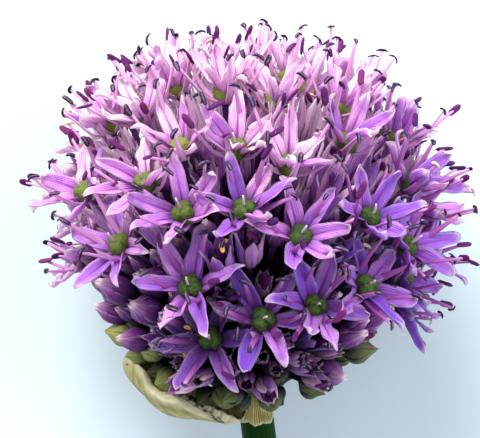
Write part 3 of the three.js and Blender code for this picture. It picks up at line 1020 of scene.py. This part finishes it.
# The tone runs through the three kinds: dry ones below 0.3, full ones about 0.5, pale ones from 0.7.
ANTHER_HUES = [(0.0, (0.006, 0.003, 0.014)), (0.3, (0.03, 0.012, 0.06)), (0.4, (0.055, 0.006, 0.085)),
               (0.6, (0.15, 0.016, 0.11)), (0.75, (0.60, 0.42, 0.40)), (1.0, (0.80, 0.42, 0.12))]


def anther_material():
    n = Nodes("anther")
    colour = n.ramp(n.tone, ANTHER_HUES)
    line = n.times(n.between(n.around, 0.11, 0.0), n.between(n.tone, 0.4, 0.25, 0.04, 0.6))
    line = n.times(line, n.between(n.noise(0.5), 0.35, 0.65, 0.15, 1.0))
    colour = n.mix(line, colour, (0.33, 0.23, 0.30))
    dust = n.times(n.between(n.noise(0.35), 0.5, 0.75), 0.25)
    colour = n.mix(dust, colour, (0.12, 0.09, 0.12))
    n.bump(n.noise(0.2), 0.06, 0.8)
    return n.done(colour, n.rough(0.5, 0.45, 0.75), gloss=0.1)


def ovary_material():
    n = Nodes("ovary")
    # Painted shade: near black in the furrows between the lobes.
    colour = n.mix(n.between(n.around, 0.1, 0.8), (0.006, 0.016, 0.003), (0.03, 0.068, 0.006))
    colour = n.mix(n.times(n.between(n.noise(0.5), 0.42, 0.62), 0.6), colour, (0.09, 0.14, 0.015))
    colour = n.mix(n.times(n.tone, 0.4), colour, (0.015, 0.05, 0.005))
    # Painted light: lighter yellow-green on the pink flowers toward the lit top.
    colour = n.mix(n.between(n.pink, 0.3, 1.0, 0.0, 0.75), colour, (0.23, 0.28, 0.04))
    n.bump(n.noise(0.3), 0.25, 1.0)
    return n.done(colour, n.rough(0.6, 0.55, 0.8), gloss=0.3, soft=(0.05, (0.5, 1.0, 0.3), 0.0005))


def style_material():
    n = Nodes("style")
    colour = n.mix(n.along, (0.42, 0.30, 0.36), (0.68, 0.55, 0.60))
    colour = n.mottled(colour, 0.4, 0.4, (0.62, 0.34, 0.50))
    n.bump(n.noise(0.2), 0.03, 0.5)
    return n.done(colour, n.rough(0.5, 0.4, 0.6))


# Pedicels' own green and purple, made darker as painted shade of the head's inside.
PEDICEL_HUES = [(0.0, (0.05, 0.10, 0.02)), (0.5, (0.05, 0.03, 0.05)), (1.0, (0.12, 0.03, 0.17))]


def pedicel_material():
    n = Nodes("pedicel")
    colour = n.ramp(n.along, PEDICEL_HUES)
    colour = n.mottled(colour, 1.5, 0.4, (0.05, 0.05, 0.03))
    colour = n.shaded(colour, 21, 33, 0.03)
    n.bump(n.noise(0.3), 0.04, 0.5)
    return n.done(colour, n.rough(0.8, 0.6, 0.8), gloss=0.08)


# Near black at a green bud's foot as painted shade between crowded buds, to yellow-green at its tip, partly
# painted light.
GREEN_HUES = [(0.0, (0.008, 0.02, 0.002)), (0.45, (0.065, 0.11, 0.012)), (1.0, (0.42, 0.44, 0.13))]
VIOLET_HUES = [(0.0, (0.012, 0.001, 0.02)), (0.35, (0.045, 0.006, 0.08)), (0.7, (0.17, 0.035, 0.22)),
               (0.88, (0.50, 0.25, 0.48)), (1.0, (0.92, 0.72, 0.76))]


def green_bud_colour(n):
    """Painted light and shade: green buds are yellower at the left, where light falls, and darker at the
    right and towards the head's centre, where shade falls.
    """
    green = n.ramp(n.along, GREEN_HUES)
    green = n.mix(n.times(n.tone, 0.5), green, (0.05, 0.08, 0.012))
    green = n.mix(n.to_the_right(-20, -7, 0.75, 0.0), green, (0.36, 0.38, 0.09))
    green = n.mix(n.to_the_right(-14, -1, 0.0, 0.62), green, (0.012, 0.028, 0.005))
    # Painted shade towards the head's centre, less at the left.
    inner = n.times(n.between(n.depth, 13 * MM, 20 * MM, 0.85, 0), n.to_the_right(-20, -7, 0.1, 1.0))
    return n.mix(inner, green, (0.004, 0.008, 0.002))


def bud_material():
    n = Nodes("bud")
    mottle = n.noise(1.0)
    ripeness = n.plus(n.pink, n.scaled(mottle, 0.3, -0.15))
    violet = n.ramp(n.along, VIOLET_HUES)
    colour = n.mix(n.between(ripeness, 0.3, 0.7), green_bud_colour(n), violet)
    is_violet = n.between(n.pink, 0.3, 0.7)
    seam = n.times(n.between(n.around, 0.66, 0.95), n.between(n.along, 0.25, 0.8))
    colour = n.mix(n.times(seam, n.times(is_violet, 0.5)), colour, (0.66, 0.40, 0.66))
    rib = n.times(n.between(n.around, 0.3, 0.05), n.between(n.along, 1.0, 0.7))
    rib = n.times(rib, n.scaled(is_violet, 0.5, 0.2))
    colour = n.mix(rib, colour, n.mix(is_violet, (0.06, 0.09, 0.02), (0.09, 0.01, 0.13)))
    colour = n.mix(n.times(mottle, n.times(is_violet, 0.25)), colour, (0.12, 0.03, 0.16))
    colour = n.shaded(colour, 15, 23, 0.12)
    n.bump(n.noise(0.4), 0.1, 0.8)
    return n.done(colour, n.rough(0.8, 0.45, 0.65), gloss=0.25, soft=(0.05, (1.0, 0.7, 1.0), 0.0005))


SPATHE_HUES = [(0.3, (0.18, 0.155, 0.04)), (0.5, (0.34, 0.30, 0.09)), (0.72, (0.52, 0.46, 0.19))]
SPATHE_VEINS = 120.0  # radians of veins across the sheet


def spathe_material():
    n = Nodes("spathe")
    colour = n.ramp(n.noise(2.5), SPATHE_HUES)
    veins = n.maths("SINE", n.scaled(n.noise(4.0), 5.0, n.times(n.around, SPATHE_VEINS)))
    colour = n.mix(n.times(n.between(veins, 0.2, 1.0), 0.5), colour, (0.20, 0.14, 0.05))
    rim = n.times(n.between(n.along, 0.9, 1.0), 0.5)
    colour = n.mix(rim, colour, (0.78, 0.72, 0.52))
    n.bump(n.plus(n.times(veins, 0.4), n.noise(0.8)), 0.15, 0.9)
    return n.done(colour, n.rough(1.2, 0.55, 0.8), soft=(0.1, (1.0, 0.8, 0.5), 0.0006))


# The first hue is the pale cut end.
SCAPE_HUES = [(0.0, (0.30, 0.36, 0.16)), (0.02, (0.003, 0.026, 0.001)), (0.7, (0.002, 0.021, 0.0005)),
              (1.0, (0.008, 0.03, 0.003))]
SCAPE_VEINS = 160.0  # radians of veins round the stem


def scape_material():
    n = Nodes("scape")
    colour = n.ramp(n.along, SCAPE_HUES)
    veins = n.maths("SINE", n.times(n.around, SCAPE_VEINS))
    colour = n.mix(n.times(n.between(veins, 0.0, 1.0), 0.25), colour, (0.009, 0.044, 0.002))
    colour = n.mottled(colour, 2.0, 0.35, (0.004, 0.034, 0.001))
    n.bump(n.plus(n.times(veins, 0.4), n.noise(0.7)), 0.05, 0.6)
    return n.done(colour, n.rough(1.2, 0.4, 0.6), gloss=0.05)


FLOWER_MATERIALS = [petal_material(), filament_material(), anther_material(), ovary_material(),
                    style_material(), pedicel_material(), bud_material()]

# ---- Flowers ----

HALF_OPEN = (5, 6, 7, 10, 12, 13, 14)  # their places in UPPER_BUDS
HALF_OPENED = 0.75
PINK_MIDDLE = 0.24
PINK_TOWARD_LIT_TOP = 0.85
GREEN_ANGLES = (98, 114)  # from the bloom's axis: where buds turn from violet to green
PUSH_ANGLES = (92, 105)  # where buds begin to stand farther out
PUSH = 1.4
BACK_DEGREES = 14  # how much farther from the bloom's axis a bud at the very back counts as lying
FRONT_DEGREES = 18  # how much nearer to it one at the very front does
# the least paleness of half-open buds at the front; it also lightens their painted shade
FRONT_PALENESS = 0.62


def set_bloom(flower):
    """How pink and how far open a flower is, by where it stands. Petals grow paler pink toward the top and
    the left, partly with their age and partly as painted light where the key light falls.
    """
    draw = flower.chance.uniform
    side, upper, front = flower.direction
    # Partly age and partly painted light: paler pink toward the top and the left, the key light's side.
    lift = -side * 0.12 + upper * 0.94
    pink = PINK_MIDDLE + PINK_TOWARD_LIT_TOP * lift + draw(-0.1, 0.1)
    flower.petal_pink = float(np.clip(pink, 0, 1))
    if flower.kind == "floret":
        flower.pink = flower.petal_pink
        return
    age_angle = (angle_from_axis(flower.direction) - BACK_DEGREES * min(front, 0)
                 - FRONT_DEGREES * max(front, 0))
    flower.pink = 1 - smooth(age_angle, *GREEN_ANGLES)
    flower.push = PUSH * smooth(age_angle, *PUSH_ANGLES)
    flower.opened = flower.pink * draw(0, 0.03)
    place_in_list = flower.number - len(florets)
    if place_in_list in HALF_OPEN:
        flower.opened = HALF_OPENED
    elif flower.kind == "bud" and place_in_list >= BUD_COUNT:
        is_early = draw(0, 1) < 0.5 and side > -0.3
        is_open = flower.petal_pink > 0.45 or is_early
        flower.opened = draw(0.6, 1.0) if is_open else 0.03
    elif flower.kind == "small" and flower.pink > 0.5 and draw(0, 1) < 0.5:
        flower.opened = draw(0.4, 0.7)
        flower.petal_pink = max(flower.petal_pink, FRONT_PALENESS)
    elif flower.pink > 0.4 and front > 0.45 and upper < -0.5:
        flower.opened = draw(0.4, 0.6)
        flower.petal_pink = max(flower.petal_pink, FRONT_PALENESS)


for flower in flowers:
    set_bloom(flower)
for floret in florets:
    floret.tepals = [Tepal(floret, number) for number in range(TEPAL_COUNT)]
settle_tepals(florets, buds)

FLORET_FOOT = -1.1  # where a floret's pedicel ends, under its ovary's centre


def grow_cyme(number, members):
    skin = Skin()
    for flower in members:
        if flower.kind == "floret":
            add_pedicel(skin, flower, FLORET_FOOT)
            add_tepals(skin, flower)
            add_stamens(skin, flower)
            add_ovary(skin, flower)
        else:
            add_pedicel(skin, flower, -BUD_LENGTH * flower.size * BUD_FOOT)
            add_bud(skin, flower)
    node = next(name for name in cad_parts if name.endswith(f"_cyme_{number:02d}"))
    piece = skin.piece(f"cyme_{number:02d}_flowers", FLOWER_MATERIALS)
    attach(piece, "root")
    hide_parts(node)


for number, members in enumerate(cymes, start=1):
    grow_cyme(number, members)

# ---- Scape, receptacle and spathe ----

UPPER_SIDE = np.array([0, -AXIS[2], AXIS[1]])
RIGHT = np.array([1.0, 0, 0])


def about_scape(radius, height, angle):
    """A place from its distance to the scape's line, its height above the receptacle and its turn."""
    return (RECEPTACLE + AXIS * np.asarray(height)[..., None]
            + UPPER_SIDE * (radius * np.cos(angle))[..., None]
            + RIGHT * (radius * np.sin(angle))[..., None])


SCAPE_SIDES = 48
SCAPE_ROWS = 40
SCAPE_TOP = -4.9  # where it meets the receptacle, from that one's centre
SCAPE_SWELL = 0.015
RECEPTACLE_ROWS = 16
RECEPTACLE_ANGLES = (142, 3)  # from its top, at its lowest and at its highest ring
RIDGE_COUNT = 14
RIDGE_DEPTH = 0.018
MIDDLE_TONE = 0.5  # tone and tint of organs whose material uses neither


def grow_scape():
    """The stem from its cut end, and the ball of the receptacle on it."""
    length = HEAD_TO_END - RECEPTACLE_DROP
    turn = ring_turns(SCAPE_SIDES)
    heights, radii = [], []
    for part in np.linspace(0, 1, SCAPE_ROWS):
        heights.append(lerp(-length, SCAPE_TOP, part))
        radii.append(SCAPE_RADIUS * (1 - SCAPE_SWELL * math.sin(part * 9)))
    for angle in np.linspace(*RECEPTACLE_ANGLES, RECEPTACLE_ROWS):
        heights.append(RECEPTACLE_RADIUS * cosine(angle))
        radii.append(RECEPTACLE_RADIUS * sine(angle))
    heights = np.array(heights)
    radii = np.array(radii)
    ridges = 1 - RIDGE_DEPTH * (0.5 + 0.5 * np.cos(turn * RIDGE_COUNT))
    skin = Skin()
    every_height, every_turn = np.broadcast_arrays(heights[:, None], turn[None])
    rings = about_scape(radii[:, None] * ridges, every_height, every_turn)
    along = (heights - heights[0]) / (heights[-1] - heights[0])
    skin.tube(rings, 0, along, turn / (2 * math.pi), MIDDLE_TONE, MIDDLE_TONE)
    piece = skin.piece("scape_stem", [scape_material()], pressed=False)
    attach(piece, "root")
    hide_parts("scape")


SPATHE_ROWS = 40
SPATHE_COLUMNS = 49
SPATHE_HALF_THICKNESS = 0.09
# Outlines are (radius, height) about the scape's line from a valve's foot to its rim. Turn and half
# width are degrees at the foot and at the rim.
SPATHE_VALVES = {
    "spathe_valve_large": {
        "outline": [[3.25, -4.8], [3.4, -6.3], [5.0, -7.2], [8.7, -6.8], [13.2, -5.2],
                    [16.9, -2.5], [18.9, 0.8], [18.7, 3.9]],
        "turn": [-60, -64],
        "half_width": [22, 52],
        "lobe": 0.5,
        "wrinkling": 1.0,
    },
    "spathe_valve_small": {
        "outline": [[3.2, -4.6], [3.3, -6.4], [4.0, -8.4], [5.4, -10.0]],
        "turn": [6, 2],
        "half_width": [24, 42],
        "lobe": 0.35,
        "wrinkling": 0.5,
    },
}


def through(knots, shares):
    """A smooth curve through knots, evenly spaced in its parameter."""
    knots = np.array(knots, float)
    padded = np.concatenate([[2 * knots[0] - knots[1]], knots, [2 * knots[-1] - knots[-2]]])
    place = np.clip(shares, 0, 1) * (len(knots) - 1)
    index = np.minimum(place.astype(int), len(knots) - 2)
    part = (place - index)[..., None]
    before, here, after, beyond = (padded[index + step] for step in range(4))
    return 0.5 * (2 * here + (after - before) * part
                  + (2 * before - 5 * here + 4 * after - beyond) * part ** 2
                  + (3 * here - before - 3 * after + beyond) * part ** 3)


def grow_spathe(node, outline, turn, half_width, lobe, wrinkling):
    """One valve as a thin wrinkled sheet; the lobe is how far its rim runs back at its sides."""
    part = np.linspace(0, 1, SPATHE_ROWS)[:, None]
    edge = np.linspace(-1, 1, SPATHE_COLUMNS)[None]
    reach = part * (1 - lobe * edge ** 2 + 0.03 * np.sin(edge * 9 + 1) * part)
    place = through(outline, reach)
    wrinkle = (0.45 * np.sin(edge * 5 + part * 4) + 0.3 * np.sin(edge * 11 + part * 5 + 1)
               + 0.12 * np.sin(edge * 31 - part * 9)) * part ** 1.5 * wrinkling
    radius = place[..., 0] + wrinkle
    height = place[..., 1] - 0.5 * wrinkle
    middle = lerp(turn[0], turn[1], part)
    spread = lerp(half_width[0], half_width[1], np.sin(part * math.pi / 2))
    angle = np.radians(middle - edge * spread)
    sheet = about_scape(radius, height, angle)
    run = np.gradient(sheet, axis=0)
    side = np.gradient(sheet, axis=1)
    normal = np.cross(run, side)
    normal /= norm(normal, axis=2)[..., None]
    upper = sheet + normal * SPATHE_HALF_THICKNESS
    lower = (sheet - normal * SPATHE_HALF_THICKNESS)[:, -1::-1]
    rings = np.concatenate([upper, lower], axis=1)
    around = np.concatenate([edge[0], edge[0][::-1]]) / 2 + 0.5
    skin = Skin()
    skin.tube(rings[:, ::-1], 0, part[:, 0], around[::-1], MIDDLE_TONE, MIDDLE_TONE)
    piece = skin.piece(node.replace("_valve", "") + "_sheet", [spathe_material()], pressed=False)
    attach(piece, "root")
    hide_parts(node)


grow_scape()
for name, valve in SPATHE_VALVES.items():
    grow_spathe(name, **valve)

# ---- Floor, light and camera ----

FLOOR_HALF = 1.5
LIGHTS_TARGET = Vector((0, 0.011, 0.02))


def make_floor():
    mesh = bpy.data.meshes.new("floor")
    corners = [(side * FLOOR_HALF, ahead * FLOOR_HALF, 0)
               for side, ahead in ((-1, -1), (1, -1), (1, 1), (-1, 1))]
    mesh.from_pydata(corners, [], [(0, 1, 2, 3)])
    floor = bpy.data.objects.new("floor", mesh)
    bpy.context.scene.collection.objects.link(floor)
    n = Nodes("floor")
    colour = n.mix(n.noise(60), (0.52, 0.61, 0.67), (0.55, 0.64, 0.70))
    mesh.materials.append(n.done(colour, 0.9))


def add_light(name, place, size, power, colour):
    data = bpy.data.lights.new(name, "AREA")
    data.shape = "DISK"
    data.size = size
    data.energy = power
    data.color = colour
    light = bpy.data.objects.new(name, data)
    light.location = place
    light.rotation_euler = (LIGHTS_TARGET - light.location).to_track_quat("-Z", "Y").to_euler()
    bpy.context.scene.collection.objects.link(light)


make_floor()
add_light("key", place=(-0.13, 0.5, 0.36), size=0.45, power=7.4, colour=(1.0, 0.98, 0.96))
add_light("fill", place=(0.5, -0.05, 0.35), size=0.6, power=3.0, colour=(0.90, 0.94, 1.0))

world = bpy.data.worlds.new("soft_daylight")
world.use_nodes = True
background = world.node_tree.nodes["Background"]
background.inputs["Color"].default_value = (0.90, 0.95, 1.0, 1)
background.inputs["Strength"].default_value = 0.8
scene = bpy.context.scene
scene.world = world
scene.view_settings.view_transform = "Standard"

# The camera looks straight down. Its picture is FIELD_WIDTH wide at CAMERA_RISE below it.
CAMERA_RISE = 0.25
CAMERA_AHEAD = 9.4
FIELD_WIDTH = 0.0706
SENSOR_WIDTH = 36
camera_data = bpy.data.cameras.new("camera")
camera_data.sensor_width = SENSOR_WIDTH
camera_data.lens = SENSOR_WIDTH * CAMERA_RISE / FIELD_WIDTH
camera_data.clip_start = 0.01
camera = bpy.data.objects.new("camera", camera_data)
turn = rad(HEAD_TURN)
camera.location = (PLACE[0] * MM - CAMERA_AHEAD * math.sin(turn) * MM,
                   PLACE[1] * MM + CAMERA_AHEAD * math.cos(turn) * MM, HEAD_HEIGHT * MM + CAMERA_RISE)
camera.rotation_euler = (0, 0, turn)
scene.collection.objects.link(camera)
scene.camera = camera
